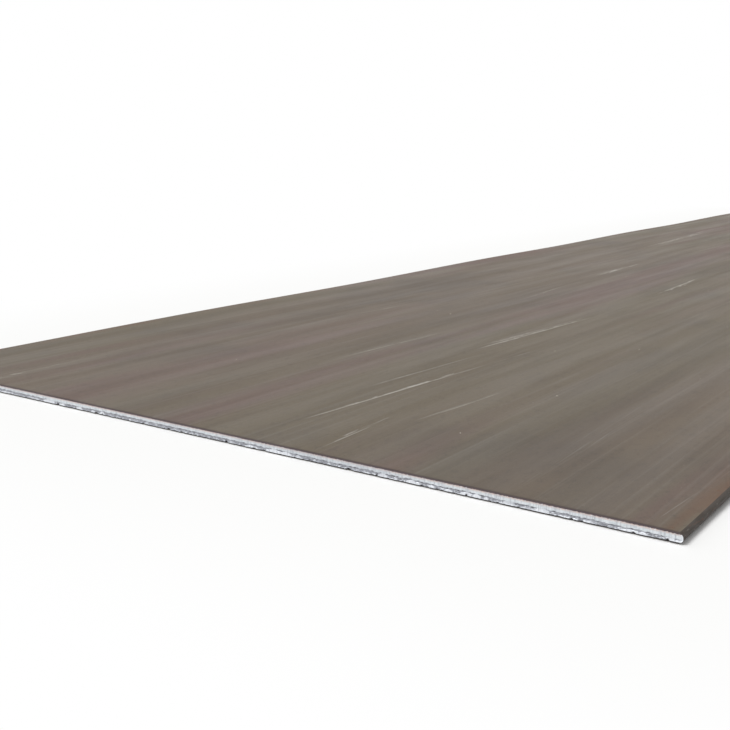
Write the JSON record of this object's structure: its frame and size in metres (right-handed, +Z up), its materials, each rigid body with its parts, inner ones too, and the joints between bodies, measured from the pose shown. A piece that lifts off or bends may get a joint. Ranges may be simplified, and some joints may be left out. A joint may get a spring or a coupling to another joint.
{
  "type": "steel plate",
  "caption": "Flat hot-rolled steel plate with rounded mill edges along its length and sheared ends.",
  "frame": {"origin": "centre of the underside, on the ground", "axes": "+Y along the length, the rolling direction; +X across the width; +Z up through the thickness"},
  "size_m": [1.5, 6, 0.0149],
  "materials": {
    "hot_rolled_steel": "dull brown-grey mill scale on both faces and the mill edges, bare bright steel on the sheared ends"
  },
  "bodies": {
    "root": {"steel_plate": "hot_rolled_steel"}
  },
  "joints": []
}
